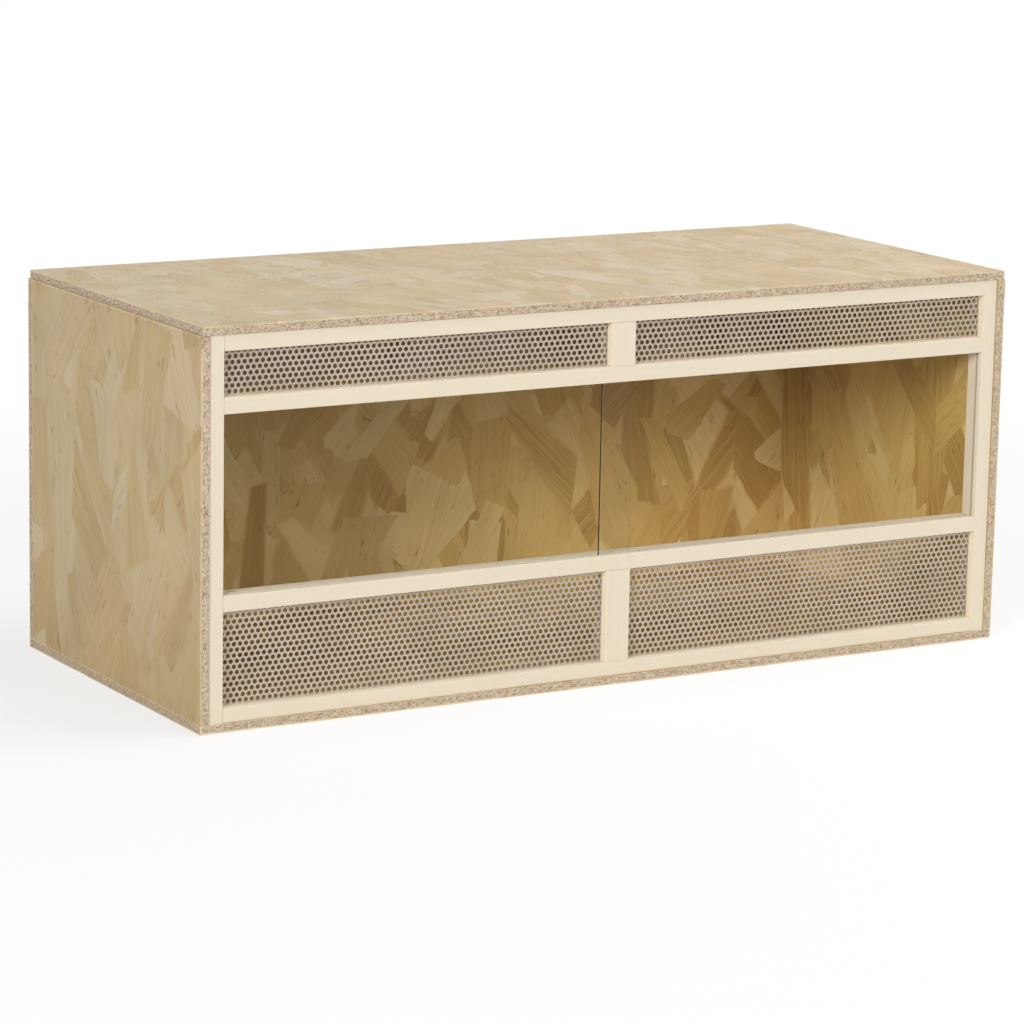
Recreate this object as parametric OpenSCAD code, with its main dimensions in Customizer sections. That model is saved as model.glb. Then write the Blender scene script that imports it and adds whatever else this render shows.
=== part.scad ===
// Reptile terrarium: a flat-pack cabinet of oriented strand board with a pine
// front frame, perforated vent sheets and two glass panes that slide past
// each other in grooves.  Millimetres, +Z up, front towards -Y, origin at the
// middle of the footprint on the underside of the base.

/* [Cabinet] */
// Overall width, across the outer faces of the side panels
body_w = 1160; // [900:10:1400]
// Overall depth, front edges of the boards to the outer face of the back
body_d = 500; // [400:10:650]
// Overall height, underside of the base to the top face
body_h = 490; // [460:10:650]
// Thickness of every strand board
board_t = 11; // [11:0.5:15]
// How far the top panel stops short of both sides and of the back
top_inset = 2; // [0:0.5:3]

/* [Front frame] */
// How far the frame stands back behind the front edges of the boards
frame_inset = 2; // [0:0.5:3]
// Width of a stile and height of a rail, seen from the front
member_w = 20; // [20:1:28]
// Front-to-back depth of every frame member
member_d = 30; // [30:1:36]
// Width of the short posts in the middle of the vents
muntin_w = 34; // [20:1:50]
// Height of the bottom rail
bottom_rail_h = 18; // [18:1:26]
// Height of the vent under the top rail
upper_vent_h = 55; // [40:1:80]
// Height of the vent above the bottom rail
lower_vent_h = 117; // [80:1:130]
// Radius of the eased long edges
ease_r = 1.2; // [0.4:0.2:2]

/* [Perforated sheets] */
// Thickness of the sheet metal
sheet_t = 0.8; // [0.8:0.1:1.2]
// Front face of the frame to the front face of a sheet
sheet_recess = 12; // [8:0.5:13]
// How far a sheet reaches into the groove on each side
sheet_bite = 5; // [3:0.5:6]
// Diameter of a hole
hole_d = 5.5; // [3:0.5:6]
// Distance between neighbouring holes, staggered at sixty degrees
hole_pitch = 8; // [8:0.5:12]

/* [Sliding glass] */
// Thickness of a pane
glass_t = 4; // [3:0.5:4]
// Width of a groove that a pane runs in
groove_w = 5; // [4.5:0.5:5]
// Wood left in front of the front groove
front_lip = 7; // [5:0.5:7]
// Wood left between the two grooves
groove_gap = 4; // [3:0.5:4]
// Depth of the grooves in the sill
sill_groove = 5; // [3:0.5:6]
// Depth of the grooves over the glass, which leave room to lift a pane out
head_groove = 11; // [10:0.5:12]
// How far a closed pane reaches up into its groove
glass_hold = 4.5; // [3.5:0.5:4.5]
// How far the two closed panes overlap in the middle
pane_overlap = 50; // [20:5:80]

/* [Fasteners] */
// Shank diameter of the countersunk wood screws
screw_d = 3.5; // [3:0.5:4]
// Length of the screws in the edges of the boards
long_screw = 35; // [30:1:40]
// Length of the screws in the frame
short_screw = 26; // [24:1:27]
// Diameter of the wooden dowels
dowel_d = 6; // [5:0.5:6]
// Length of one leg of a steel angle bracket
bracket_leg = 30; // [28:1:36]
// Thickness of a steel angle bracket
bracket_t = 2; // [1.5:0.5:2.5]

/* [Hidden] */
$fn = 32;
fit_gap = 0.05;               // radial room round a screw or dowel
run_gap = 0.3;                // room under a pane in its groove
end_gap = 1;                  // room between a closed pane and its stile
pocket_gap = 0.15;            // room round a sheet in its grooves

// Faces of the cabinet
front_y = -body_d / 2;
back_y = body_d / 2;
back_face_y = back_y - board_t;        // inner face of the back panel
inner_x = body_w / 2 - board_t;        // inner face of a side panel
side_mid_x = body_w / 2 - board_t / 2; // middle of a side panel's edge
under_top = body_h - board_t;          // underside of the top panel

// Front frame, from the bottom up
frame_y = front_y + frame_inset;       // its front face
opening_x = inner_x - member_w;        // inner face of a stile
lower_vent_z = board_t + bottom_rail_h;
sill_z = lower_vent_z + lower_vent_h;
glass_z = sill_z + member_w;
top_rail_z = under_top - member_w;
upper_vent_z = top_rail_z - upper_vent_h;
head_rail_z = upper_vent_z - member_w;
vent_w = opening_x - muntin_w / 2;

// Glass
front_groove_y = frame_y + front_lip;
rear_groove_y = front_groove_y + groove_w + groove_gap;
pane_w = opening_x - end_gap + pane_overlap / 2;
pane_z = glass_z - sill_groove + run_gap;
pane_h = head_rail_z + glass_hold - pane_z;
arris = 0.4;                           // ground edge of the glass

// Sheets
hole_row = hole_pitch * sqrt(3) / 2;
hole_side = 5;                         // first hole's centre to a side of the sheet
hole_low = 10;                         // lowest row's centres to the lower edge
hole_high = 6;                         // least from the highest row to the upper edge

// Where the fasteners stand
dowel_y = frame_y + (front_lip + 2 * groove_w + groove_gap + member_d) / 2;
frame_screw_y = frame_y + member_d * 0.6;
side_ys = [front_y + 65, 0, back_y - 65];
back_xs = [-0.52, 0, 0.52] * inner_x;
rail_xs = [-0.75, -0.25, 0.25, 0.75] * inner_x;
back_zs = [board_t + 70, body_h / 2, under_top - 70];
stile_screw_zs = [lower_vent_z + lower_vent_h / 2, upper_vent_z + upper_vent_h / 2];
rail_zs = [board_t + bottom_rail_h / 2, sill_z + member_w / 2,
           head_rail_z + member_w / 2, top_rail_z + member_w / 2];
rail_dowel_l = 30;
post_dowel_l = 20;
panel_dowel_l = 16;
panel_dowel_up = 7;                    // share of it inside the top panel
head_d = 2 * screw_d;                  // countersunk head
head_h = screw_d / 2;
point_l = 3;                           // pointed end of a screw
small_d = 3;                           // pan-head screws of the brackets
small_l = 9;
small_head_d = 5.6;
small_head_h = 1.8;
bracket_w = 18;
bracket_holes = [10, 22];
bracket_hole_d = 3.4;

// Colours
strand_tan = "#d2b78c";
pine_cream = "#ead9b8";
sheet_grey = "#b9b2a6";
glass_green = [0.72, 0.84, 0.78, 0.35];
steel_grey = "#a9adb0";
beech_tan = "#cfa878";

// ---- Helpers ----

module at(places) {
    for (p = places) translate(p) children();
}

// Outline of a bar with its four long edges rounded over
function eased(w, h) = [
    for (c = [[w - ease_r, h - ease_r, 0], [ease_r, h - ease_r, 90],
              [ease_r, ease_r, 180], [w - ease_r, ease_r, 270]])
        for (a = [0:22.5:90])
            [c[0] + ease_r * cos(c[2] + a), c[1] + ease_r * sin(c[2] + a)]];

// Bar that lies along X between the stiles
module cross_bar(z, h) {
    translate([-opening_x, frame_y, z]) rotate([90, 0, 90])
        linear_extrude(height = 2 * opening_x) polygon(eased(member_d, h));
}

// Bar that stands up, w wide, from z to z + h
module post(x, z, w, h) {
    translate([x, frame_y, z]) linear_extrude(height = h) polygon(eased(w, member_d));
}

// Countersunk screw along +Z with its head's face at z = 0; with a gap it is
// the hole that the screw leaves, open for a little way in front of the head
function screw_outline(l, gap) = concat(
    gap > 0 ? [[0, -1], [head_d / 2 + gap, -1]] : [[0, 0]],
    [[head_d / 2 + gap, 0], [screw_d / 2 + gap, head_h + gap],
     [screw_d / 2 + gap, l - point_l], [0, l + gap]]);

module screw_hole(l) {
    rotate_extrude() polygon(screw_outline(l, fit_gap));
}

module cross_recess(across, depth) {
    for (turn = [0, 90]) rotate([0, 0, turn])
        translate([-across / 2, -0.4, -1]) cube([across, 0.8, depth + 1]);
}

module wood_screw(l) {
    difference() {
        rotate_extrude() polygon(screw_outline(l, 0));
        cross_recess(screw_d, 1.2);
    }
}

// Pan-head screw along +Z, its head seated on z = 0
module small_screw() {
    difference() {
        rotate_extrude() polygon([
            [0, -small_head_h], [small_head_d * 0.36, -small_head_h],
            [small_head_d / 2, -small_head_h * 0.4], [small_head_d / 2, 0],
            [small_d / 2, 0], [small_d / 2, small_l - 2], [0, small_l]]);
        translate([0, 0, -small_head_h]) cross_recess(3, 1);
    }
}

module small_hole() {
    rotate_extrude() polygon([[0, 0], [small_d / 2 + fit_gap, 0],
        [small_d / 2 + fit_gap, small_l - 2], [0, small_l + fit_gap]]);
}

// Fluted dowels are drawn as plain rods with chamfered ends
module dowel(l) {
    r = dowel_d / 2;
    rotate_extrude() polygon([[0, 0], [r - 0.6, 0], [r, 0.6], [r, l - 0.6], [r - 0.6, l], [0, l]]);
}

module dowel_hole(l) {
    translate([0, 0, -0.3]) cylinder(d = dowel_d + 2 * fit_gap, h = l + 0.6);
}

// ---- Where each group of fasteners goes ----

module place_base_screws() {
    at([for (s = [-1, 1], y = side_ys) [s * side_mid_x, y, 0]]) children();
    at([for (x = back_xs) [x, back_y - board_t / 2, 0]]) children();
}

module place_rail_screws() {
    at([for (x = rail_xs) [x, frame_screw_y, 0]]) children();
}

module place_back_screws() {
    at([for (s = [-1, 1], z = back_zs) [s * side_mid_x, back_y, z]])
        rotate([90, 0, 0]) children();
}

module place_stile_screws() {
    for (s = [-1, 1], z = stile_screw_zs)
        translate([s * opening_x, frame_screw_y, z]) rotate([0, 90 * s, 0]) children();
}

module place_panel_dowels() {
    low = under_top - panel_dowel_l + panel_dowel_up;
    at([for (s = [-1, 1], y = side_ys) [s * side_mid_x, y + 30, low]]) children();
    at([for (x = back_xs) [x + 60, back_y - board_t / 2, low]]) children();
    at([for (s = [-1, 1]) [s * opening_x / 2, dowel_y, low]]) children();
}

module place_rail_dowels() {
    for (s = [-1, 1], z = rail_zs)
        translate([s * (opening_x - rail_dowel_l / 2), dowel_y, z]) rotate([0, 90 * s, 0]) children();
}

module place_post_dowels() {
    for (z = [lower_vent_z, sill_z, upper_vent_z, top_rail_z])
        translate([0, dowel_y, z - post_dowel_l / 2]) children();
}

// Brackets hang under the top panel, one leg against the wall beside them
module place_brackets() {
    for (s = [-1, 1], y = [front_y + 120, back_y - 120])
        translate([s * inner_x, y, under_top]) rotate([0, 0, 90 + 90 * s]) children();
    for (s = [-1, 1])
        translate([s * inner_x / 2, back_face_y, under_top]) rotate([0, 0, -90]) children();
}

module place_bracket_screws() {
    place_brackets() for (u = bracket_holes) {
        translate([u, 0, -bracket_t]) children();
        translate([bracket_t, 0, -u]) rotate([0, -90, 0]) children();
    }
}

// ---- Strand boards ----

module base_panel() {
    color(strand_tan) difference() {
        translate([-body_w / 2, front_y, 0]) cube([body_w, body_d, board_t]);
        place_base_screws() screw_hole(long_screw);
        place_rail_screws() screw_hole(short_screw);
    }
}

module top_panel() {
    color(strand_tan) difference() {
        translate([-body_w / 2 + top_inset, front_y, under_top])
            cube([body_w - 2 * top_inset, body_d - top_inset, board_t]);
        place_panel_dowels() dowel_hole(panel_dowel_l);
        place_bracket_screws() small_hole();
    }
}

module side_panel(side) {
    color(strand_tan) difference() {
        translate([side * side_mid_x - board_t / 2, front_y, board_t])
            cube([board_t, body_d - board_t, under_top - board_t]);
        place_base_screws() screw_hole(long_screw);
        place_back_screws() screw_hole(long_screw);
        place_stile_screws() screw_hole(short_screw);
        place_panel_dowels() dowel_hole(panel_dowel_l);
        place_bracket_screws() small_hole();
    }
}

module left_side_panel() { side_panel(-1); }
module right_side_panel() { side_panel(1); }

module back_panel() {
    color(strand_tan) difference() {
        translate([-body_w / 2, back_face_y, board_t]) cube([body_w, board_t, under_top - board_t]);
        place_base_screws() screw_hole(long_screw);
        place_back_screws() screw_hole(long_screw);
        place_panel_dowels() dowel_hole(panel_dowel_l);
        place_bracket_screws() small_hole();
    }
}

// ---- Front frame ----

// Room for one sheet, a little larger than the sheet itself
module sheet_pocket(x, z, h) {
    g = pocket_gap;
    translate([x - sheet_bite - g, frame_y + sheet_recess - g, z - sheet_bite - g])
        cube([vent_w + 2 * (sheet_bite + g), sheet_t + 2 * g, h + 2 * (sheet_bite + g)]);
}

module sheet_pockets() {
    for (x = [-opening_x, muntin_w / 2]) {
        sheet_pocket(x, upper_vent_z, upper_vent_h);
        sheet_pocket(x, lower_vent_z, lower_vent_h);
    }
}

module glass_grooves(z, depth) {
    for (y = [front_groove_y, rear_groove_y])
        translate([-opening_x - 1, y, z]) cube([2 * opening_x + 2, groove_w, depth]);
}

module frame_holes() {
    place_rail_dowels() dowel_hole(rail_dowel_l);
    place_post_dowels() dowel_hole(post_dowel_l);
    place_panel_dowels() dowel_hole(panel_dowel_l);
    place_rail_screws() screw_hole(short_screw);
    place_stile_screws() screw_hole(short_screw);
}

module stile(side) {
    color(pine_cream) difference() {
        post(side * (opening_x + member_w / 2) - member_w / 2, board_t, member_w, under_top - board_t);
        sheet_pockets();
        frame_holes();
    }
}

module left_stile() { stile(-1); }
module right_stile() { stile(1); }

module top_rail() {
    color(pine_cream) difference() {
        cross_bar(top_rail_z, member_w);
        sheet_pockets();
        frame_holes();
    }
}

// Rail over the glass, with the two deep grooves on its underside
module head_rail() {
    color(pine_cream) difference() {
        cross_bar(head_rail_z, member_w);
        glass_grooves(head_rail_z - 1, head_groove + 1);
        sheet_pockets();
        frame_holes();
    }
}

// Rail under the glass, with the two shallow grooves on its top
module sill_rail() {
    color(pine_cream) difference() {
        cross_bar(sill_z, member_w);
        glass_grooves(glass_z - sill_groove, sill_groove + 1);
        sheet_pockets();
        frame_holes();
    }
}

module bottom_rail() {
    color(pine_cream) difference() {
        cross_bar(board_t, bottom_rail_h);
        sheet_pockets();
        frame_holes();
    }
}

module muntin(z, h) {
    color(pine_cream) difference() {
        post(-muntin_w / 2, z, muntin_w, h);
        sheet_pockets();
        frame_holes();
    }
}

module upper_muntin() { muntin(upper_vent_z, upper_vent_h); }
module lower_muntin() { muntin(lower_vent_z, lower_vent_h); }

// ---- Perforated sheets ----

module perforated_sheet(x, z, vent_h) {
    w = vent_w + 2 * sheet_bite;
    h = vent_h + 2 * sheet_bite;
    rows = floor((h - hole_low - hole_high) / hole_row);
    columns = floor((w - 2 * hole_side) / hole_pitch - 0.5);
    first_x = (w - (columns + 0.5) * hole_pitch) / 2;
    color(sheet_grey) translate([x - sheet_bite, frame_y + sheet_recess + sheet_t, z - sheet_bite])
        rotate([90, 0, 0]) linear_extrude(height = sheet_t) difference() {
            square([w, h]);
            for (row = [0:rows], column = [0:columns])
                translate([first_x + (column + (row + 1) % 2 / 2) * hole_pitch, hole_low + row * hole_row])
                    circle(d = hole_d);
        }
}

module upper_left_sheet() { perforated_sheet(-opening_x, upper_vent_z, upper_vent_h); }
module upper_right_sheet() { perforated_sheet(muntin_w / 2, upper_vent_z, upper_vent_h); }
module lower_left_sheet() { perforated_sheet(-opening_x, lower_vent_z, lower_vent_h); }
module lower_right_sheet() { perforated_sheet(muntin_w / 2, lower_vent_z, lower_vent_h); }

// ---- Glass ----

// Plate with ground arrises all round its front and back faces
module glass_pane(x, groove_y) {
    a = arris;
    y = groove_y + (groove_w - glass_t) / 2;
    color(glass_green) difference() {
        translate([x, y, pane_z]) cube([pane_w, glass_t, pane_h]);
        for (fy = [y, y + glass_t]) {
            for (ex = [x, x + pane_w]) translate([ex, fy, pane_z - 1])
                rotate([0, 0, 45]) translate([-a * 0.7, -a * 0.7, 0]) cube([a * 1.4, a * 1.4, pane_h + 2]);
            for (ez = [pane_z, pane_z + pane_h]) translate([x - 1, fy, ez])
                rotate([45, 0, 0]) translate([0, -a * 0.7, -a * 0.7]) cube([pane_w + 2, a * 1.4, a * 1.4]);
        }
    }
}

module left_glass_pane() { glass_pane(-opening_x + end_gap, rear_groove_y); }
module right_glass_pane() { glass_pane(opening_x - end_gap - pane_w, front_groove_y); }

// ---- Fasteners ----

module panel_dowels() { color(beech_tan) place_panel_dowels() dowel(panel_dowel_l); }

module frame_dowels() {
    color(beech_tan) {
        place_rail_dowels() dowel(rail_dowel_l);
        place_post_dowels() dowel(post_dowel_l);
    }
}

module base_screws() { color(steel_grey) place_base_screws() wood_screw(long_screw); }
module rail_screws() { color(steel_grey) place_rail_screws() wood_screw(short_screw); }
module back_screws() { color(steel_grey) place_back_screws() wood_screw(long_screw); }
module stile_screws() { color(steel_grey) place_stile_screws() wood_screw(short_screw); }

module top_brackets() {
    color(steel_grey) place_brackets() difference() {
        rotate([90, 0, 0]) linear_extrude(height = bracket_w, center = true)
            polygon([[0, 0], [bracket_leg, 0], [bracket_leg, -bracket_t],
                     [bracket_t, -bracket_t], [bracket_t, -bracket_leg], [0, -bracket_leg]]);
        for (u = bracket_holes) {
            translate([u, 0, -bracket_t - 1]) cylinder(d = bracket_hole_d, h = bracket_t + 2);
            translate([-1, 0, -u]) rotate([0, 90, 0]) cylinder(d = bracket_hole_d, h = bracket_t + 2);
        }
    }
}

module bracket_screws() { color(steel_grey) place_bracket_screws() small_screw(); }

base_panel();
top_panel();
left_side_panel();
right_side_panel();
back_panel();
left_stile();
right_stile();
top_rail();
head_rail();
sill_rail();
bottom_rail();
upper_muntin();
lower_muntin();
upper_left_sheet();
upper_right_sheet();
lower_left_sheet();
lower_right_sheet();
left_glass_pane();
right_glass_pane();
panel_dowels();
frame_dowels();
base_screws();
rail_screws();
back_screws();
stile_screws();
top_brackets();
bracket_screws();
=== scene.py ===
import math

import bpy
from mathutils import Matrix, Vector


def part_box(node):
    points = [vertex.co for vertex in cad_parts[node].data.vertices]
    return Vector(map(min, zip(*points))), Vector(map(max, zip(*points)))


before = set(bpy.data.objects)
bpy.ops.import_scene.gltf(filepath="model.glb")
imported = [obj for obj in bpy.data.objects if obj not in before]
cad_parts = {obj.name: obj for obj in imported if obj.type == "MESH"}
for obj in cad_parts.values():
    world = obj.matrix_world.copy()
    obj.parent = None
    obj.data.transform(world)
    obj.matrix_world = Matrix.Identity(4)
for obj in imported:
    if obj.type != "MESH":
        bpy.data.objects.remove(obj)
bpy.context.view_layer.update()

# --- Camera -----------------------------------------------------------------
# A long lens looks from the left of the front and a little above the top, so
# that the left side, the front and the top of the cabinet show together.

EYE = (-2.655, -4.5094, 1.2517)     # metres
HEADING = 30.386                    # degrees to the right of straight ahead
DROP = 11.646                       # degrees below the horizon
ROLL = 1.105                        # degrees that the right end is lifted
LENS = 144.71                       # millimetres
SENSOR = 36                         # millimetres
SIGHT = 60                          # metres

camera = bpy.data.objects.new("camera", bpy.data.cameras.new("camera"))
camera.data.lens = LENS
camera.data.sensor_width = SENSOR
camera.data.clip_end = SIGHT
camera.location = EYE
camera.rotation_euler = (
    Matrix.Rotation(math.radians(-HEADING), 3, "Z")
    @ Matrix.Rotation(math.radians(90 - DROP), 3, "X")
    @ Matrix.Rotation(math.radians(ROLL), 3, "Z")).to_euler()
bpy.context.scene.collection.objects.link(camera)
bpy.context.scene.camera = camera

# --- Floor, sky and lamps ---------------------------------------------------
# A white sweep of floor under an even bright sky, with three wide soft lamps,
# as in a catalogue studio.  The floor keeps a faint shadow.

WHITE = (1, 1, 1, 1)
FLOOR_HALF = 12.0       # metres from its middle to each side
FLOOR_DROP = 0.0004     # keeps the floor clear of the base
FLOOR_WHITE = (0.93, 0.93, 0.93, 1)
FLOOR_GLOW = 0.7        # share of pure white in what the camera sees of the floor
GLOW_NEAR = 0.7         # that share grows to all of it between these distances
GLOW_FAR = 1.9
SKY_LIGHT = 0.22        # what the sky gives the object
LAMP_AIM = Vector((0, 0, 0.25))


def new_material(name):
    """An empty material: gives back it, its node tree and its output node."""
    material = bpy.data.materials.new(name)
    material.use_nodes = True
    tree = material.node_tree
    tree.nodes.clear()
    return material, tree, tree.nodes.new("ShaderNodeOutputMaterial")


def add(tree, kind, inputs=None, **settings):
    """Adds one node, gives it its settings, and fills each input that inputs
    names or numbers, with a value or with a link from another node's socket."""
    node = tree.nodes.new("ShaderNode" + kind)
    for name, value in settings.items():
        setattr(node, name, value)
    for name, value in (inputs or {}).items():
        if isinstance(value, bpy.types.NodeSocket):
            tree.links.new(value, node.inputs[name])
        else:
            node.inputs[name].default_value = value
    return node


def calc(tree, operation, first, second=0.0, third=0.0):
    """One sum on up to three numbers; gives back its result."""
    return add(tree, "Math", {0: first, 1: second, 2: third}, operation=operation).outputs[0]


floor_material, tree, output = new_material("studio_floor")
ray = add(tree, "LightPath")
painted = add(tree, "BsdfDiffuse", {"Color": FLOOR_WHITE})
white = add(tree, "Emission", {"Color": WHITE, "Strength": 1.0})
place = add(tree, "TexCoord").outputs["Object"]
away = add(tree, "VectorMath", {0: place}, operation="LENGTH").outputs["Value"]
glow = add(tree, "MapRange", {0: away, 1: GLOW_NEAR, 2: GLOW_FAR, 3: FLOOR_GLOW, 4: 1.0}).outputs[0]
share = calc(tree, "MULTIPLY", ray.outputs["Is Camera Ray"], glow)
shown = add(tree, "MixShader", {0: share, 1: painted.outputs[0], 2: white.outputs[0]})
tree.links.new(shown.outputs[0], output.inputs["Surface"])

floor_mesh = bpy.data.meshes.new("floor")
floor_mesh.from_pydata(
    [(x * FLOOR_HALF, y * FLOOR_HALF, -FLOOR_DROP) for x, y in ((-1, -1), (1, -1), (1, 1), (-1, 1))],
    [], [(0, 1, 2, 3)])
floor_mesh.materials.append(floor_material)
floor = bpy.data.objects.new("floor", floor_mesh)
bpy.context.scene.collection.objects.link(floor)

# What looks straight at the sky, or by a mirror or through glass, sees white.
world = bpy.data.worlds.new("studio")
bpy.context.scene.world = world
world.use_nodes = True
tree = world.node_tree
tree.nodes.clear()
ray = add(tree, "LightPath")
seen = calc(tree, "MAXIMUM", ray.outputs["Is Camera Ray"], ray.outputs["Is Glossy Ray"])
seen = calc(tree, "MAXIMUM", seen, ray.outputs["Is Transmission Ray"])
strength = calc(tree, "MULTIPLY_ADD", seen, 1.0 - SKY_LIGHT, SKY_LIGHT)
sky = add(tree, "Background", {"Color": WHITE, "Strength": strength})
output = tree.nodes.new("ShaderNodeOutputWorld")
tree.links.new(sky.outputs[0], output.inputs["Surface"])


def soft_lamp(name, place, size, power):
    """A square lamp at this place that faces the cabinet: metres and watts."""
    lamp = bpy.data.lights.new(name, "AREA")
    lamp.shape = "SQUARE"
    lamp.size = size
    lamp.energy = power
    holder = bpy.data.objects.new(name, lamp)
    holder.location = place
    holder.rotation_euler = (Vector(place) - LAMP_AIM).to_track_quat("Z", "Y").to_euler()
    bpy.context.scene.collection.objects.link(holder)


soft_lamp("left_lamp", (-7.9, -5.9, 3.4), 3.0, 690)
soft_lamp("front_lamp", (1.2, -6.5, 2.8), 2.2, 110)
soft_lamp("top_lamp", (1.4, -0.6, 3.4), 2.2, 82)
bpy.context.scene.view_settings.view_transform = "Standard"

# --- Strand boards ----------------------------------------------------------
# Base, top, two sides and back, sawn from sanded oriented strand board: flat
# pine strands pressed in crossing layers.  The sawn edges show the chips.

X, Y, Z = 0, 1, 2
SURFACE = [("Colour", "Color"), ("Height", "Float"), ("Roughness", "Float")]    # of a board or a post

STRAND_LAYERS = 8
STRAND_ROOM = (0.230, 0.110)        # room for one strand, along and across, metres
STRAND_LOOSE = 0.9                  # how far that room may stray, as a share of it
STRAND_HALF = (0.045, 0.014)        # smallest half length and half width
STRAND_MORE = (0.060, 0.024)        # what chance may add to each
STRAND_CROSSED = 0.85               # strands whose lean is over this lie across
STRAND_TURN = 1.5                   # how far those are turned, radians
STRAND_SLANT = 1.2                  # how far an end may slant, along for each across
STRAND_TAPER = 0.6                  # share of its width that a strand may lose at an end
STRAND_FEATHER = 0.012              # how far in from its edge a strand may be thin,
STRAND_SHARP = 0.0008               # and the least that it is
STRAND_WANDER = (0.010, 0.005, 0)   # how far the outlines wander, along and across
LAYER_SHIFT = (0.731, 0.417, 0)     # sets a layer's strands apart from those of the next
LAYER_WAIT = (1e-7, 1e-7, 0)

FIBRE = (9, 240, 90)                # patterns: turns in a metre along and across,
BANDS = (5, 100, 47)                # and how far strands are set apart in them
FLECKS = (50, 400, 31)
SCRATCHES = (14, 600, 1)
WANDERING = 30
WEAR = 24
CLOUDS = 9
FIBRE_SHARE = 0.7                   # how much the fibre changes a strand's tone
FLECK_WEAR = 0.35                   # how much more flecks there are where it is worn
RINGS = 7                           # year rings in one swing of the bands
GRAIN_CHANCE, SEAM_CHANCE = 7.31, 3.77      # draw other chances from a strand's mark
SEAM = (0.0002, 0.0016)             # a seam is full up to the first depth, gone at the second
STRAND_TONES = [
    (0.00, (0.385, 0.265, 0.110)), (0.20, (0.475, 0.350, 0.170)), (0.40, (0.520, 0.398, 0.210)),
    (0.60, (0.550, 0.435, 0.255)), (0.80, (0.585, 0.485, 0.320)), (1.00, (0.640, 0.550, 0.405))]
WARM_TINT = (1.02, 0.98, 0.975, 1)
RING_TINT = (0.90, 0.83, 0.70, 1)
DARK_TINT = (0.60, 0.47, 0.33, 1)

CHIP_WANDERING = 1.3                # on an edge, patterns are counted in chips
CHIP_WANDER = 0.9                   # how far the chips' outlines wander, in chips
SMALL_CHIPS = 2.7                   # of them for one large chip's length
GRIT = 9
CHIP_SHARES = (0.62, 0.38, 0.3)     # of large chips, small ones and grit in the tone
CHIP_HEIGHT = 2.0                   # how far a pale chip stands out over a dark one
CHIP_TONES = [
    (0.00, (0.150, 0.100, 0.060)), (0.20, (0.235, 0.165, 0.105)), (0.34, (0.430, 0.325, 0.220)),
    (0.60, (0.505, 0.400, 0.280)), (0.80, (0.585, 0.480, 0.350)), (1.00, (0.740, 0.650, 0.530))]


def group_of(name, takes, gives):
    """An empty node group with these inputs and outputs, each a name and kind."""
    tree = bpy.data.node_groups.new(name, "ShaderNodeTree")
    for way, names in (("INPUT", takes), ("OUTPUT", gives)):
        for label, kind in names:
            tree.interface.new_socket(label, in_out=way, socket_type="NodeSocket" + kind)
    return tree, tree.nodes.new("NodeGroupInput").outputs, tree.nodes.new("NodeGroupOutput").inputs


def give(tree, gives, *values):
    """Links these values to a group's outputs, in their order."""
    for value, socket in zip(values, gives):
        tree.links.new(value, socket)


def reckon(tree, operation, first, second=(0, 0, 0), third=(0, 0, 0)):
    """One sum on up to three vectors; gives back its result."""
    return add(tree, "VectorMath", {0: first, 1: second, 2: third}, operation=operation).outputs[0]


def parts_of(tree, vector):
    """The three numbers in a vector or colour."""
    return add(tree, "SeparateXYZ", {0: vector}).outputs


def thrice(tree, value):
    """A vector, or a grey, of one number."""
    return add(tree, "CombineXYZ", {0: value, 1: value, 2: value}).outputs[0]


def noise(tree, place, scales, detail=2.0, distortion=0.0):
    """Smooth chance between 0 and 1.  scales is how many turns it takes in each
    unit of the place, as one number or as one for each axis."""
    if isinstance(scales, int):
        scales = (scales, scales, scales)
    node = add(tree, "TexNoise", {"Vector": reckon(tree, "MULTIPLY", place, scales), "Scale": 1.0,
                                  "Detail": detail, "Distortion": distortion})
    return node.outputs[0]


def steps(tree, value, low, high, to_low=0.0, to_high=1.0):
    """Value moved smoothly from low..high to to_low..to_high, and kept there."""
    return add(tree, "MapRange", {0: value, 1: low, 2: high, 3: to_low, 4: to_high},
               interpolation_type="SMOOTHSTEP").outputs[0]


def remainder(tree, value, times):
    """Value times this much, less its whole part: of a chance, another chance."""
    return calc(tree, "FRACT", calc(tree, "MULTIPLY", value, times))


def ramp(tree, factor, stops):
    """The colour at factor on a band through these stops."""
    node = add(tree, "ValToRGB", {0: factor})
    elements = node.color_ramp.elements
    while len(elements) < len(stops):
        elements.new(0.5)
    for element, (place, colour) in zip(elements, stops):
        element.position = place
        element.color = (*colour, 1)
    return node.outputs[0]


def blend(tree, share, first, second, kind="RGBA", way="MIX"):
    """Second laid on first by this share.  The node numbers its inputs and its
    outputs by kind: numbers, then vectors, then colours."""
    number = ("FLOAT", "VECTOR", "RGBA").index(kind)
    fields = {0: share, 2 * number + 2: first, 2 * number + 3: second}
    return add(tree, "Mix", fields, data_type=kind, blend_type=way).outputs[number]


def tinted(tree, colour, tint, share=1.0):
    """The colour multiplied by a tint, by this share."""
    return blend(tree, share, colour, tint, way="MULTIPLY")


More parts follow.
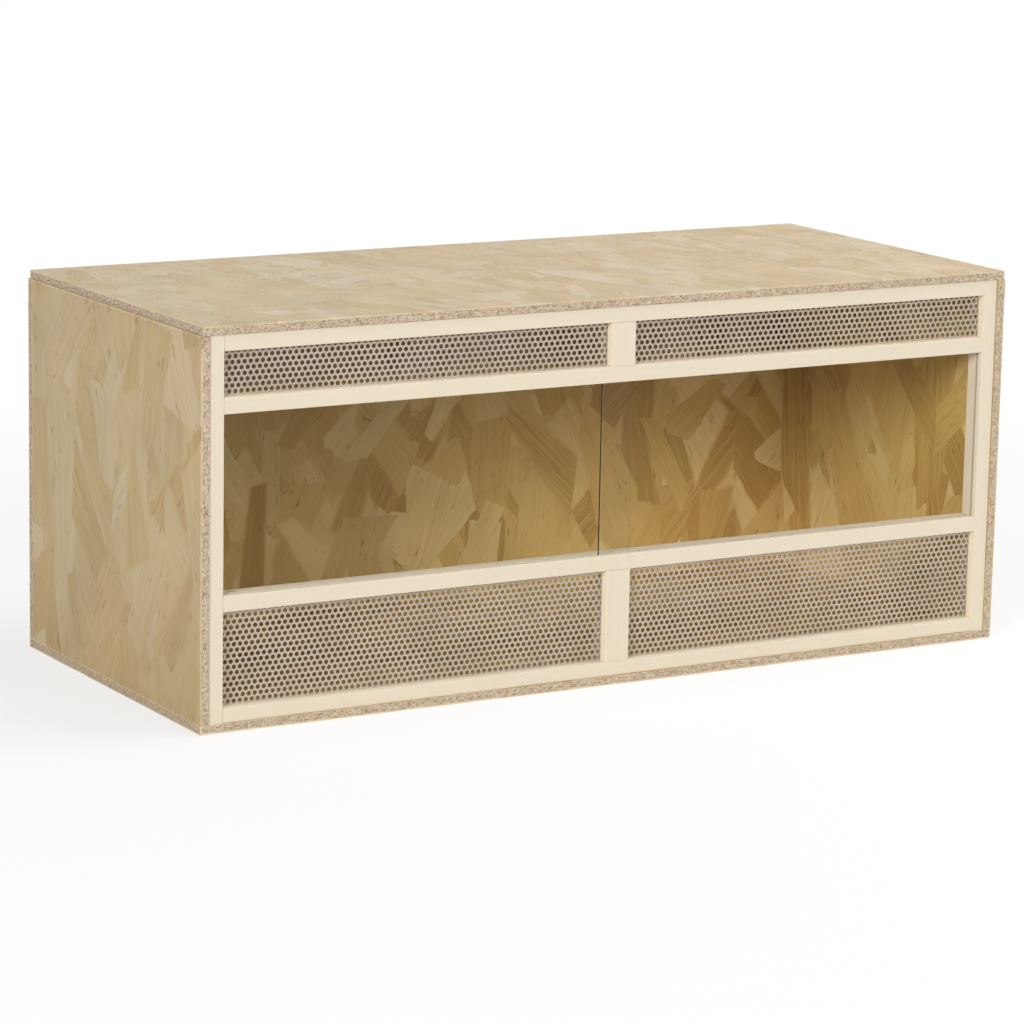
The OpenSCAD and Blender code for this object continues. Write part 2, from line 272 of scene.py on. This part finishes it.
def strand_layer():
    """One layer of strands.  The plane is cut into random cells and each holds
    one strand, turned by a random angle, mostly near the grain, with slanting
    ends and tapering sides.  Where a strand lies, its own place (along, across,
    mark) and its depth inside its edge take over from those of the layers under
    it.  Its two tones come in softly, as its feathered edges let the others
    through.  LAYER_WAIT, too small to see, makes each layer wait for the one
    under it, so that the renderer never holds all of them at once."""
    tree, takes, gives = group_of(
        "strand_layer",
        [("Place", "Vector"), ("Lean", "Float"), ("Layer", "Float"), ("Under", "Vector"),
         ("Under Edge", "Float"), ("Under Tones", "Vector")],
        [("Strand", "Vector"), ("Edge", "Float"), ("Tones", "Vector")])
    layer = thrice(tree, takes["Layer"])
    waited = reckon(tree, "MULTIPLY_ADD", takes["Under"], LAYER_WAIT, takes["Place"])
    moved = reckon(tree, "MULTIPLY_ADD", layer, LAYER_SHIFT, waited)
    cell_place = reckon(tree, "MULTIPLY", moved, (1 / STRAND_ROOM[0], 1 / STRAND_ROOM[1], 0))
    cell = add(tree, "TexVoronoi", {"Vector": cell_place, "Scale": 1.0, "Randomness": STRAND_LOOSE},
               voronoi_dimensions="2D").outputs
    in_cell = reckon(tree, "SUBTRACT", cell_place, cell["Position"])
    local = reckon(tree, "MULTIPLY", in_cell, (*STRAND_ROOM, 0))
    dice = parts_of(tree, cell["Color"])
    dice_place = reckon(tree, "ADD", cell["Position"], layer)
    more_dice = add(tree, "TexWhiteNoise", {"Vector": dice_place}, noise_dimensions="3D").outputs["Color"]
    more_dice = parts_of(tree, more_dice)

    lean = calc(tree, "MULTIPLY_ADD", dice[0], 2.0, -1.0)
    crossed = calc(tree, "GREATER_THAN", calc(tree, "ABSOLUTE", lean), STRAND_CROSSED)
    leaned = calc(tree, "MULTIPLY", lean, takes["Lean"])
    angle = calc(tree, "MULTIPLY_ADD", crossed, STRAND_TURN, leaned)
    turned = add(tree, "VectorRotate", {"Vector": local, "Angle": angle}, rotation_type="Z_AXIS")
    along, across, _ = parts_of(tree, turned.outputs[0])

    half_length = calc(tree, "MULTIPLY_ADD", dice[1], STRAND_MORE[0], STRAND_HALF[0])
    half_width = calc(tree, "MULTIPLY_ADD", dice[2], STRAND_MORE[1], STRAND_HALF[1])
    slant = calc(tree, "MULTIPLY_ADD", more_dice[0], 2 * STRAND_SLANT, -STRAND_SLANT)
    slanted = calc(tree, "MULTIPLY_ADD", across, slant, along)
    from_end = calc(tree, "SUBTRACT", half_length, calc(tree, "ABSOLUTE", slanted))
    taper = calc(tree, "MULTIPLY_ADD", more_dice[1], 2 * STRAND_TAPER, -STRAND_TAPER)
    narrowed = calc(tree, "MULTIPLY", calc(tree, "DIVIDE", along, half_length), taper)
    side = calc(tree, "MULTIPLY", half_width, calc(tree, "SUBTRACT", 1.0, narrowed))
    from_side = calc(tree, "SUBTRACT", side, calc(tree, "ABSOLUTE", across))
    depth = calc(tree, "MINIMUM", from_end, from_side)

    inside = calc(tree, "GREATER_THAN", depth, 0.0)
    strand = add(tree, "CombineXYZ", {0: along, 1: across, 2: more_dice[2]}).outputs[0]
    top_strand = blend(tree, inside, takes["Under"], strand, "VECTOR")
    top_edge = blend(tree, inside, takes["Under Edge"], depth, "FLOAT")
    feather = calc(tree, "MULTIPLY", calc(tree, "POWER", more_dice[1], 2.0), STRAND_FEATHER)
    thick = steps(tree, depth, 0.0, calc(tree, "ADD", feather, STRAND_SHARP))
    own_tones = add(tree, "CombineXYZ", {0: more_dice[2], 1: dice[2]}).outputs[0]
    top_tones = blend(tree, thick, takes["Under Tones"], own_tones, "VECTOR")
    give(tree, gives, top_strand, top_edge, top_tones)
    return tree


def board_face(layer_tree):
    """The sanded face: the layers over each other, each strand in its own tone
    and with its own grain, thin dark seams round it and a few dark flecks."""
    tree, takes, gives = group_of(
        "board_face", [("Place", "Vector"), ("Lean", "Float"), ("Contrast", "Float"), ("Tint", "Color")],
        SURFACE)
    wander = add(tree, "TexNoise", {"Vector": takes["Place"], "Scale": WANDERING, "Detail": 3.0}).outputs[1]
    pushed = reckon(tree, "MULTIPLY_ADD", wander, STRAND_WANDER, takes["Place"])
    strand, edge, tones = pushed, 0.0, (0.5, 0.5, 0)
    for layer in range(1, STRAND_LAYERS + 1):
        over = add(tree, "Group", {"Place": pushed, "Lean": takes["Lean"], "Layer": layer, "Under": strand,
                                   "Under Edge": edge, "Under Tones": tones}, node_tree=layer_tree).outputs
        strand, edge, tones = over["Strand"], over["Edge"], over["Tones"]

    mark = parts_of(tree, strand)[2]
    own_tone, warmth, _ = parts_of(tree, tones)
    fibre = noise(tree, strand, FIBRE, detail=4.0)
    bands = noise(tree, strand, BANDS, detail=1.0, distortion=0.6)
    fleck = noise(tree, strand, FLECKS, detail=1.0)
    worn = noise(tree, takes["Place"], WEAR)
    cloud = noise(tree, takes["Place"], CLOUDS)

    spread = calc(tree, "MULTIPLY", calc(tree, "SUBTRACT", own_tone, 0.5), takes["Contrast"])
    tone = calc(tree, "MULTIPLY_ADD", calc(tree, "SUBTRACT", fibre, 0.5), FIBRE_SHARE,
                calc(tree, "ADD", spread, 0.5))
    colour = ramp(tree, tone, STRAND_TONES)
    colour = tinted(tree, colour, WARM_TINT, steps(tree, warmth, 0.6, 1.0, 0.0, 0.8))

    grained = steps(tree, remainder(tree, mark, GRAIN_CHANCE), 0.5, 1.0, 0.0, 0.7)
    in_ring = calc(tree, "ABSOLUTE", calc(tree, "SUBTRACT", remainder(tree, bands, RINGS), 0.5))
    ringed = calc(tree, "MULTIPLY", steps(tree, in_ring, 0.30, 0.5), grained)
    colour = tinted(tree, colour, RING_TINT, ringed)

    open_seam = steps(tree, remainder(tree, mark, SEAM_CHANCE), 0.5, 1.0, 0.15, 0.8)
    seam = calc(tree, "MULTIPLY", steps(tree, edge, *SEAM, 1.0, 0.0), open_seam)
    seam = calc(tree, "MULTIPLY", seam, steps(tree, worn, 0.45, 0.60))
    torn = calc(tree, "MULTIPLY_ADD", calc(tree, "SUBTRACT", worn, 0.5), FLECK_WEAR, fleck)
    flecked = steps(tree, torn, 0.70, 0.76)
    colour = tinted(tree, colour, DARK_TINT, calc(tree, "MAXIMUM", seam, flecked))

    shade = thrice(tree, steps(tree, cloud, 0.3, 0.7, 0.94, 1.05))
    colour = tinted(tree, colour, shade)
    colour = tinted(tree, colour, takes["Tint"])
    scratches = noise(tree, takes["Place"], SCRATCHES, detail=3.0)
    give(tree, gives, colour, scratches, steps(tree, scratches, 0.3, 0.7, 0.62, 0.50))
    return tree


def board_edge():
    """The sawn edge: the ends and sides of the strands as short flat chips,
    some pale, some dark with glue.  Its places are counted in chips."""
    tree, takes, gives = group_of("board_edge", [("Place", "Vector")], SURFACE)
    wander = add(tree, "TexNoise", {"Vector": takes["Place"], "Scale": CHIP_WANDERING,
                                    "Detail": 2.0}).outputs[1]
    pushed = reckon(tree, "MULTIPLY_ADD", wander, (CHIP_WANDER, CHIP_WANDER, CHIP_WANDER), takes["Place"])
    chips = add(tree, "TexVoronoi", {"Vector": pushed, "Scale": 1.0, "Randomness": 1.0}).outputs
    small = add(tree, "TexVoronoi", {"Vector": pushed, "Scale": SMALL_CHIPS, "Randomness": 1.0}).outputs
    tone = calc(tree, "MULTIPLY_ADD", parts_of(tree, chips["Color"])[0], CHIP_SHARES[0],
                calc(tree, "MULTIPLY", parts_of(tree, small["Color"])[1], CHIP_SHARES[1]))
    grit = noise(tree, takes["Place"], GRIT)
    tone = calc(tree, "MULTIPLY_ADD", calc(tree, "SUBTRACT", grit, 0.5), CHIP_SHARES[2], tone)
    give(tree, gives, ramp(tree, tone, CHIP_TONES), calc(tree, "MULTIPLY", tone, CHIP_HEIGHT),
         steps(tree, tone, 0.0, 1.0, 0.9, 0.65))
    return tree


def dress(material, *nodes):
    """Gives CAD nodes this material in place of their plain one."""
    for name in nodes:
        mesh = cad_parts[name].data
        mesh.materials.clear()
        mesh.materials.append(material)


def principled(tree, output, colour, roughness, height, relief, **more):
    """Ends a material in one Principled shader, with relief in metres."""
    shader = add(tree, "BsdfPrincipled", {"Base Color": colour, "Roughness": roughness, **more})
    bump = add(tree, "Bump", {"Height": height, "Distance": relief, "Strength": 1.0})
    tree.links.new(bump.outputs[0], shader.inputs["Normal"])
    tree.links.new(shader.outputs[0], output.inputs["Surface"])


def to_corner(tree, place, node, through, inner_way):
    """How far a point on a board is from the nearest of its outer corners: the
    middle one of its distances to the outer face and to the ends on the other
    two axes, as the smallest is 0 on the surface."""
    low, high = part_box(node)
    gaps = []
    for axis in (X, Y, Z):
        if axis == through:
            outer = low[axis] if inner_way > 0 else high[axis]
            gaps.append(calc(tree, "ABSOLUTE", calc(tree, "SUBTRACT", place[axis], outer)))
        else:
            middle = (low[axis] + high[axis]) / 2
            from_middle = calc(tree, "ABSOLUTE", calc(tree, "SUBTRACT", place[axis], middle))
            gaps.append(calc(tree, "SUBTRACT", (high[axis] - low[axis]) / 2, from_middle))
    nearer = calc(tree, "MINIMUM", gaps[0], gaps[1])
    farther = calc(tree, "MAXIMUM", gaps[0], gaps[1])
    return calc(tree, "MAXIMUM", nearer, calc(tree, "MINIMUM", farther, gaps[2]))


CHIP_SIZE = (0.0027, 0.0019, 0.0012)    # along the edge, into it, through the board
BOARD_RELIEF = 0.00015
FACE_OVER = 0.7             # where the normal is more than this, it is a face, not an edge
INNER_ASIDE = 3.7           # takes the inner face's strands from another part of the pattern
SHIFT_ACROSS = 0.37         # how far a shift goes across the grain for each metre along
# Inner faces: golden like unsanded board, and also painted light: brighter and warmer than the outer faces,
# standing in for light inside the cabinet.
INNER_GOLD_AND_LIGHT = (1.26, 1.13, 0.69, 1)
INNER_CONTRAST = 0.45       # how much more the strands differ inside
INSIDE_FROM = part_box("top_rail")[0][Y] + 0.001      # the frame covers the boards from here on
# Painted shade: the darker, greyer tint high up inside the cabinet.
UPPER_SHADE_TINT = (0.62, 0.60, 0.52, 1)
UPPER_SHADE_FROM, UPPER_SHADE_TO = 0.300, 0.335       # painted shade sets in at this height inside and is full at the second
# Painted highlight: a pale, cool line along the boards' outer corners.
CORNER_HIGHLIGHT_TINT = (1.24, 1.26, 1.32, 1)
HIGHLIGHT_FULL, HIGHLIGHT_END = 0.0012, 0.0022    # how far in from a corner the painted highlight is full, and where it is gone
# Painted light: the top board is painted a little darker and bluer than the base and back, for the light
# and the sheen on it.
TOP_LIGHT_TINT = (0.93, 0.94, 1.03, 1)
# Painted shade: the side boards are painted darker than the others.
SIDE_SHADE_TINT = (0.87, 0.84, 0.80, 1)

face_tree = board_face(strand_layer())
edge_tree = board_edge()


def strand_board(name, node, grain, cross, through, shift, inner_way, lean=0.95, contrast=0.65,
                 fine=1.0, tint=WHITE):
    """A board's material.  grain, cross and through number the axes that its
    strands run along, lie across and are pressed on; shift picks other strands
    from the same pattern.  lean is how far the strands may turn from the grain,
    in radians, contrast how far their tones differ and fine how much smaller
    than usual they are.  The face that looks along inner_way is the inner one,
    with other strands again and a golden tone, partly that of unsanded board and
    partly painted light, brighter and warmer than outside, except for the narrow
    strip in front of the frame.  High up inside, the back and the top are painted
    darker: painted shade.  The outer corners carry a painted highlight."""
    material, tree, output = new_material(name)
    source = add(tree, "TexCoord").outputs
    place = parts_of(tree, source["Object"])
    normal = parts_of(tree, source["Normal"])[through]
    inner = calc(tree, "GREATER_THAN", calc(tree, "MULTIPLY", normal, inner_way), 0.0)
    inner = calc(tree, "MULTIPLY", inner, calc(tree, "GREATER_THAN", place[Y], INSIDE_FROM))
    # Painted shade: high up inside, the back and the top are painted darker and greyer.
    upper_shade = steps(tree, place[Z], UPPER_SHADE_FROM, UPPER_SHADE_TO) if through != X else 0.0
    aside = calc(tree, "MULTIPLY", inner, INNER_ASIDE)
    flat = add(tree, "CombineXYZ", {0: calc(tree, "ADD", place[grain], aside), 1: place[cross]}).outputs[0]
    spot = reckon(tree, "MULTIPLY_ADD", flat, (fine, fine, 0), (shift, SHIFT_ACROSS * shift, 0))
    spread = calc(tree, "MULTIPLY_ADD", inner, INNER_CONTRAST, contrast)
    # The inner faces' tint: golden board and painted light, giving way to painted shade high up.
    inner_gold_light_and_shade = blend(tree, upper_shade, INNER_GOLD_AND_LIGHT, UPPER_SHADE_TINT)
    face = add(tree, "Group", {"Place": spot, "Lean": lean, "Contrast": spread,
                               "Tint": blend(tree, inner, tint, inner_gold_light_and_shade)},
               node_tree=face_tree).outputs
    chip_scale = [0, 0, 0]
    for axis, size in zip((grain, cross, through), CHIP_SIZE):
        chip_scale[axis] = 1 / size
    sawn = add(tree, "Group", {0: reckon(tree, "MULTIPLY", source["Object"], chip_scale)},
               node_tree=edge_tree).outputs
    is_face = calc(tree, "GREATER_THAN", calc(tree, "ABSOLUTE", normal), FACE_OVER)
    colour = blend(tree, is_face, sawn["Colour"], face["Colour"])
    # Painted highlight along the outer corners.
    highlighted = tinted(tree, face["Colour"], CORNER_HIGHLIGHT_TINT)
    corner = to_corner(tree, place, node, through, inner_way)
    colour = blend(tree, steps(tree, corner, HIGHLIGHT_FULL, HIGHLIGHT_END, 1.0, 0.0), colour, highlighted)
    height = blend(tree, is_face, sawn["Height"], face["Height"], "FLOAT")
    roughness = blend(tree, is_face, sawn["Roughness"], face["Roughness"], "FLOAT")
    principled(tree, output, colour, roughness, height, BOARD_RELIEF)
    dress(material, node)


strand_board("base_strand_board", "base_panel", X, Y, Z, 1.3, 1)
# The top's tint and its lower contrast are painted light and sheen.
strand_board("top_strand_board", "top_panel", Y, X, Z, 5.9, -1,
             lean=0.6, contrast=0.5, fine=1.5, tint=TOP_LIGHT_TINT)
# The sides' tint is painted shade.
strand_board("left_strand_board", "left_side_panel", Z, Y, X, 12.9, 1,
             contrast=0.6, fine=0.8, tint=SIDE_SHADE_TINT)
strand_board("right_strand_board", "right_side_panel", Z, Y, X, 17.8, -1,
             contrast=0.6, fine=0.8, tint=SIDE_SHADE_TINT)
strand_board("back_strand_board", "back_panel", Z, X, Y, 23.1, -1)

# The saw's sharp corners are broken with sandpaper.
BOARD_EASE = 0.0005
EASE_SEGMENTS = 2
EASE_OVER = math.radians(50)        # flatter corners than this are left
WELD_REACH = 0.00001


def ease(node, width):
    """Breaks the sharp corners of a CAD node; its triangles are welded first."""
    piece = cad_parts[node]
    piece.modifiers.new("weld", "WELD").merge_threshold = WELD_REACH
    bevel = piece.modifiers.new("ease", "BEVEL")
    bevel.width = width
    bevel.segments = EASE_SEGMENTS
    bevel.limit_method = "ANGLE"
    bevel.angle_limit = EASE_OVER


for node in ("base_panel", "top_panel", "left_side_panel", "right_side_panel", "back_panel"):
    ease(node, BOARD_EASE)

# --- Pine front frame -------------------------------------------------------
# Two stiles, four rails and two short posts of planed pine, glued and dowelled
# at butt joints.  Their narrow faces are painted paler than their fronts: painted light.

PINE_EARLY = (0.660, 0.577, 0.443, 1)
PINE_LATE = (0.560, 0.460, 0.325, 1)
PINE_NARROW_LIGHT = (1.28, 1.28, 1.28, 1)      # painted light: how much paler the narrow faces are painted
PINE_RELIEF = 0.00008
RING = 0.0034               # mean width of a year's growth, metres
RING_POWER = 2.6            # how late in a year the late wood sets in
RING_STOP = 0.93            # and where it ends
LATE_SHARE = (0.04, 0.20)   # how much of it shows, from the faintest to the strongest
LATE_HEIGHT = -0.4          # how far it stands out over the fibre
STEM_TURNS = (2.2, 14, 14)  # the stem bows this often in a metre, along and across,
STEM_BOW = (0, 0.016, 0.016)            # and this far, metres
PINE_FIBRE = (10, 900, 900)
PINE_CLOUDS = (5, 30, 30)
FIBRE_CONTRAST = 0.08
SIDEWAYS = 0.5              # a face that looks forwards less than this is a narrow one


def planed_pine():
    """The year rings of a stem whose middle runs along the first axis, cut
    open: pale early wood that darkens to a sharp late ring, with fine fibre."""
    tree, takes, gives = group_of("planed_pine", [("Place", "Vector")], SURFACE)
    drift = add(tree, "TexNoise", {"Vector": reckon(tree, "MULTIPLY", takes["Place"], STEM_TURNS),
                                   "Scale": 1.0, "Detail": 2.0}).outputs[1]
    bowed = reckon(tree, "MULTIPLY_ADD", drift, STEM_BOW, takes["Place"])
    _, one, two = parts_of(tree, bowed)
    two_squared = calc(tree, "MULTIPLY", two, two)
    from_pith = calc(tree, "SQRT", calc(tree, "MULTIPLY_ADD", one, one, two_squared))
    year = calc(tree, "FRACT", calc(tree, "DIVIDE", from_pith, RING))
    late = calc(tree, "POWER", year, RING_POWER)
    late = calc(tree, "MULTIPLY", late, steps(tree, year, RING_STOP, 1.0, 1.0, 0.0))
    fibre = noise(tree, takes["Place"], PINE_FIBRE, detail=3.0)
    cloud = noise(tree, takes["Place"], PINE_CLOUDS, detail=1.0)
    share = calc(tree, "MULTIPLY", late, steps(tree, cloud, 0.3, 0.7, *LATE_SHARE))
    colour = blend(tree, share, PINE_EARLY, PINE_LATE)
    shade = calc(tree, "MULTIPLY_ADD", calc(tree, "SUBTRACT", fibre, 0.5), FIBRE_CONTRAST, 1.0)
    colour = tinted(tree, colour, thrice(tree, shade))
    give(tree, gives, colour, calc(tree, "MULTIPLY_ADD", late, LATE_HEIGHT, fibre),
         steps(tree, late, 0.0, 1.0, 0.52, 0.42))
    return tree


def forwardness(tree, source):
    """How squarely a face looks forwards or backwards, from 0 to 1."""
    return calc(tree, "ABSOLUTE", parts_of(tree, source["Normal"])[Y])


pine_tree = planed_pine()


def pine(name, node, grain, pith):
    """A member's material.  grain numbers the axis that it was sawn along, and
    pith is how far off, on the other two axes, the middle of its tree was."""
    material, tree, output = new_material(name)
    source = add(tree, "TexCoord").outputs
    place = parts_of(tree, source["Object"])
    first, second = [axis for axis in (X, Y, Z) if axis != grain]
    turned = add(tree, "CombineXYZ", {
        0: place[grain], 1: calc(tree, "ADD", place[first], pith[0]),
        2: calc(tree, "ADD", place[second], pith[1])}).outputs[0]
    wood = add(tree, "Group", {0: turned}, node_tree=pine_tree).outputs
    # The narrow faces are painted paler: painted light.
    is_narrow = calc(tree, "LESS_THAN", forwardness(tree, source), SIDEWAYS)
    colour = tinted(tree, wood["Colour"], PINE_NARROW_LIGHT, is_narrow)
    principled(tree, output, colour, wood["Roughness"], wood["Height"], PINE_RELIEF)
    dress(material, node)


pine("left_stile_pine", "left_stile", Z, (0.61, 0.17))
pine("right_stile_pine", "right_stile", Z, (-0.47, 0.32))
pine("top_rail_pine", "top_rail", X, (0.34, -0.41))
pine("head_rail_pine", "head_rail", X, (0.19, -0.43))
pine("sill_rail_pine", "sill_rail", X, (0.30, -0.06))
pine("bottom_rail_pine", "bottom_rail", X, (0.36, 0.09))
pine("upper_post_pine", "upper_muntin", Z, (0.09, 0.29))
pine("lower_post_pine", "lower_muntin", Z, (0.04, 0.36))

# --- Vent sheets ------------------------------------------------------------
# Four punched steel sheets with a pale warm-grey coating, let into grooves in
# the frame.  Their round holes are staggered.

COATING = (0.455, 0.385, 0.308, 1)
COATING_WORN = (0.400, 0.335, 0.265, 1)
COATING_METAL = 0.2                     # a little metal shines through
COATING_RELIEF = 0.00004
COATING_SPECKLE = 900
COATING_CLOUDS = 18
HOLE_SHADE = (0.022, 0.017, 0.012, 1)      # painted shade: the walls of the holes, near black

material, tree, output = new_material("coated_sheet")
source = add(tree, "TexCoord").outputs
speckle = noise(tree, source["Object"], COATING_SPECKLE)
cloud = noise(tree, source["Object"], COATING_CLOUDS)
colour = blend(tree, steps(tree, cloud, 0.35, 0.7), COATING, COATING_WORN)
# The walls of the holes are painted near black: painted shade.
is_wall = calc(tree, "LESS_THAN", forwardness(tree, source), SIDEWAYS)
colour = blend(tree, is_wall, colour, HOLE_SHADE)
principled(tree, output, colour, steps(tree, speckle, 0.3, 0.7, 0.36, 0.48), speckle, COATING_RELIEF,
           Metallic=COATING_METAL)
dress(material, "upper_left_sheet", "upper_right_sheet", "lower_left_sheet", "lower_right_sheet")

# --- Sliding glass ----------------------------------------------------------
# Two float-glass panes with ground edges.  An edge looks almost black, with a
# pale line where its corners are ground; each pane slides past the other.

GLASS_TINT = (0.996, 0.998, 0.996, 1)
GLASS_SHINE = (0.22, 0.22, 0.22, 1)
GLASS_EDGE = (0.014, 0.017, 0.013, 1)
GLASS_EDGE_GROUND = (0.040, 0.052, 0.040, 1)
GLASS_CORNER = (0.50, 0.53, 0.50, 1)
CORNER_SHARE = 0.2      # what a ground corner scatters of the light
EDGE_CLEAR = 0.9        # how clear an edge is from within, and to the light
GLASS_IOR = 1.45
GRIND = 700             # the grinder's marks in a metre
POLISHED_OVER = 0.9     # only a face that looks forwards more than this is polished

material, tree, output = new_material("float_glass")
source = add(tree, "TexCoord").outputs
clear = add(tree, "BsdfTransparent", {"Color": GLASS_TINT})
shine = add(tree, "BsdfGlossy", {"Color": GLASS_SHINE, "Roughness": 0.0})
from_within = add(tree, "NewGeometry").outputs["Backfacing"]
passing = calc(tree, "MAXIMUM", from_within, add(tree, "LightPath").outputs["Is Shadow Ray"])
forward = forwardness(tree, source)
polished = calc(tree, "GREATER_THAN", forward, POLISHED_OVER)
mirrored = add(tree, "Fresnel", {"IOR": GLASS_IOR}).outputs[0]
from_outside = calc(tree, "SUBTRACT", 1.0, passing)
glint = calc(tree, "MULTIPLY", mirrored, calc(tree, "MULTIPLY", polished, from_outside))
pane = add(tree, "MixShader", {0: glint, 1: clear.outputs[0], 2: shine.outputs[0]})
grind = noise(tree, source["Object"], GRIND)
edge_colour = blend(tree, grind, GLASS_EDGE, GLASS_EDGE_GROUND)
edge_shader = add(tree, "BsdfPrincipled", {"Base Color": edge_colour,
                                           "Roughness": steps(tree, grind, 0.3, 0.7, 0.15, 0.30)})
corner_shader = add(tree, "BsdfDiffuse", {"Color": GLASS_CORNER})
solid = calc(tree, "MULTIPLY_ADD", passing, -EDGE_CLEAR, 1.0)
is_corner = calc(tree, "MULTIPLY", calc(tree, "SUBTRACT", 1.0, polished), CORNER_SHARE)
corner_share = calc(tree, "MULTIPLY", is_corner, solid)
with_corners = add(tree, "MixShader", {0: corner_share, 1: pane.outputs[0], 2: corner_shader.outputs[0]})
edge_share = calc(tree, "MULTIPLY", calc(tree, "LESS_THAN", forward, SIDEWAYS), solid)
both = add(tree, "MixShader", {0: edge_share, 1: with_corners.outputs[0], 2: edge_shader.outputs[0]})
tree.links.new(both.outputs[0], output.inputs["Surface"])
dress(material, "left_glass_pane", "right_glass_pane")

# --- Dowels, screws and brackets --------------------------------------------
# Beech dowels and zinc-plated screws hold the boards and the frame; six steel
# angles hold the top to the walls from inside.

BEECH = [(0.3, (0.42, 0.26, 0.13)), (0.6, (0.60, 0.42, 0.25))]
BEECH_ROUGHNESS = 0.6
BEECH_RELIEF = 0.0001
BEECH_PORES = 420
ZINC = [(0.3, (0.50, 0.51, 0.52)), (0.7, (0.66, 0.67, 0.67))]
ZINC_RELIEF = 0.00003
ZINC_GRAIN = 260
ZINC_CLOUDS = 60

material, tree, output = new_material("beech_dowel")
place = add(tree, "TexCoord").outputs["Object"]
pores = noise(tree, place, BEECH_PORES, detail=3.0)
principled(tree, output, ramp(tree, pores, BEECH), BEECH_ROUGHNESS, pores, BEECH_RELIEF)
dress(material, "panel_dowels", "frame_dowels")

material, tree, output = new_material("zinc_steel")
place = add(tree, "TexCoord").outputs["Object"]
grain = noise(tree, place, ZINC_GRAIN, detail=3.0)
cloud = noise(tree, place, ZINC_CLOUDS)
colour = ramp(tree, cloud, ZINC)
principled(tree, output, colour, steps(tree, grain, 0.3, 0.7, 0.26, 0.42), grain, ZINC_RELIEF,
           Metallic=1.0)
dress(material, "base_screws", "rail_screws", "back_screws", "stile_screws", "top_brackets",
      "bracket_screws")
